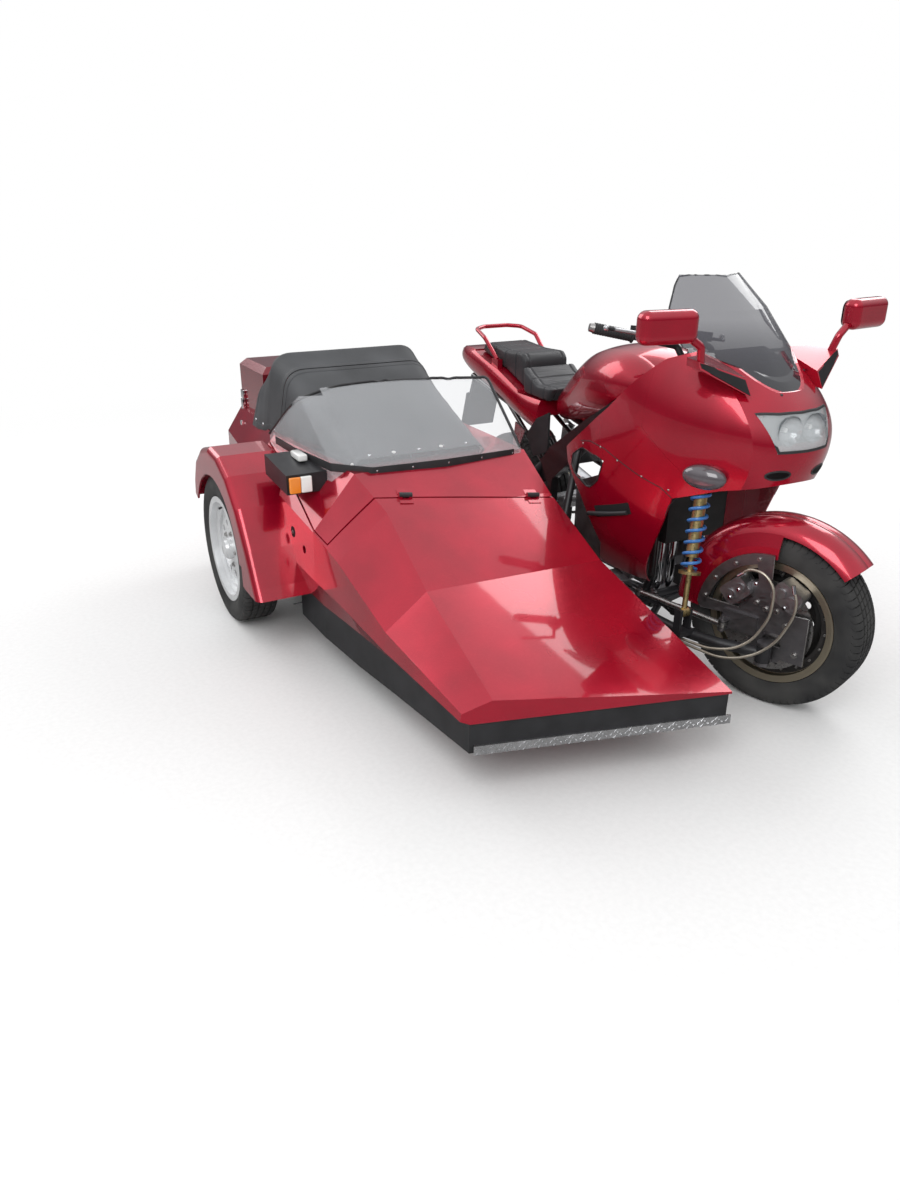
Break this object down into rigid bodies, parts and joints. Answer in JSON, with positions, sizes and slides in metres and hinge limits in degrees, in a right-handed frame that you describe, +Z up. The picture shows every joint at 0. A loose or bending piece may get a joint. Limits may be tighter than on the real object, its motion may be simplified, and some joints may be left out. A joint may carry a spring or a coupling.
{
  "type": "sport touring motorcycle with sidecar",
  "caption": "Fully faired sport touring motorcycle with a wedge-nosed sidecar fixed on its right side, a tilting windscreen cowl, a vinyl hood and a luggage box.",
  "frame": {"origin": "on the floor, under the middle of the whole outline", "axes": "+X forward in the direction of travel, +Y to the left, +Z up; the sidecar is on the right, at -Y"},
  "size_m": [2.409, 1.965, 1.322],
  "materials": {
    "red_paint": "glossy",
    "black_paint": "satin",
    "tyre_rubber": "matte",
    "rim_white": "glossy",
    "rim_black": "satin",
    "steel": "satin",
    "dark_steel": "satin",
    "aluminium": "satin",
    "chrome": "polished",
    "blue_spring": "glossy",
    "vinyl": "matte",
    "seat_vinyl": "satin",
    "clear_glass": "glossy",
    "smoked_glass": "glossy",
    "lamp_glass": "glossy",
    "amber_lens": "glossy",
    "red_lens": "glossy",
    "black_plastic": "matte"
  },
  "bodies": {
    "outfit": {"bike_windscreen": "smoked_glass", "dash_panel": "black_plastic", "drive_chain": "steel", "engine_block": "dark_steel", "exhaust_left": "chrome", "exhaust_right": "chrome", "fairing_left": "red_paint", "fairing_right": "red_paint", "fairing_upper": "red_paint", "footrests": "aluminium", "front_shock": "aluminium", "front_signals": "smoked_glass", "front_spring": "blue_spring", "front_swingarm": "black_paint", "fuel_tank": "red_paint", "grab_rail": "red_paint", "headlamp": "lamp_glass", "hood_rear": "vinyl", "main_frame": "black_paint", "mirror_left": "red_paint", "mirror_right": "red_paint", "mount_struts": "black_paint", "nose_strip": "aluminium", "radiators": "black_paint", "rear_guard": "black_plastic", "rear_swingarm": "aluminium", "seat": "seat_vinyl", "side_covers": "black_plastic", "sidecar_axle": "black_paint", "sidecar_chassis": "black_paint", "sidecar_seat": "seat_vinyl", "sidecar_skirt": "black_paint", "sidecar_tub": "red_paint", "tail_cowl": "red_paint", "tail_lamp": "red_lens"},
    "front_wheel": {"front_tyre": "tyre_rubber", "front_rim": "rim_black", "front_disc": "steel"},
    "front_steering": {"front_upright": "dark_steel", "brake_calipers": "dark_steel", "front_mudguard": "red_paint"},
    "steering_rod": {"steering_rod": "steel"},
    "steering_relay": {"steering_relay": "black_paint"},
    "handlebar": {"handlebar": "black_paint"},
    "rear_wheel": {"rear_tyre": "tyre_rubber", "rear_rim": "rim_black", "rear_disc": "steel", "rear_sprocket": "steel"},
    "sidecar_wheel": {"sidecar_tyre": "tyre_rubber", "sidecar_rim": "rim_white"},
    "sidecar_cowl": {"sidecar_cowl": "red_paint", "sidecar_windscreen": "clear_glass", "hood_front": "vinyl", "sidecar_lamp": "black_paint", "sidecar_lens": "amber_lens"},
    "boot_lid": {"boot_lid": "red_paint"}
  },
  "joints": [
    {"name": "wheel_steer", "type": "hinge", "parent": "outfit", "child": "front_steering", "pos_m": [0.97918, 0.35828, 0.215], "axis": [0, 0, 1], "range_deg": [-43, 7]},
    {"name": "handlebar_steer", "type": "hinge", "parent": "outfit", "child": "handlebar", "pos_m": [0.469, 0.478, 0.96], "axis": [-0.4067, 0, 0.9135], "range_deg": [-43, 7]},
    {"name": "relay_turn", "type": "hinge", "parent": "outfit", "child": "steering_relay", "pos_m": [0.63619, 0.29328, 0.268], "axis": [0, 0, 1], "range_deg": [-43, 7]},
    {"name": "rod_swing", "type": "hinge", "parent": "front_steering", "child": "steering_rod", "pos_m": [0.83887, 0.30796, 0.268], "axis": [0, 0, 1], "range_deg": [-7, 43]},
    {"name": "front_wheel_spin", "type": "hinge", "parent": "front_steering", "child": "front_wheel", "pos_m": [0.914, 0.478, 0.29], "axis": [-0.309, 0.9511, 0], "continuous": true},
    {"name": "rear_wheel_spin", "type": "hinge", "parent": "outfit", "child": "rear_wheel", "pos_m": [-0.626, 0.478, 0.29], "axis": [0, 1, 0], "continuous": true},
    {"name": "sidecar_wheel_spin", "type": "hinge", "parent": "outfit", "child": "sidecar_wheel", "pos_m": [-0.556, -0.892, 0.29], "axis": [0, 1, 0], "continuous": true},
    {"name": "cowl_hinge", "type": "hinge", "parent": "outfit", "child": "sidecar_cowl", "pos_m": [0.20422, -0.28421, 0.6208], "axis": [0.1358, 0.9853, -0.1032], "range_deg": [0, 60]},
    {"name": "boot_hinge", "type": "hinge", "parent": "outfit", "child": "boot_lid", "pos_m": [-0.875, -0.337, 0.899], "axis": [0, 1, 0], "range_deg": [0, 70]}
  ],
  "couplings": [
    {"joint": "wheel_steer", "follows": "handlebar_steer", "ratio": 1},
    {"joint": "relay_turn", "follows": "handlebar_steer", "ratio": 1},
    {"joint": "rod_swing", "follows": "handlebar_steer", "ratio": -1}
  ]
}
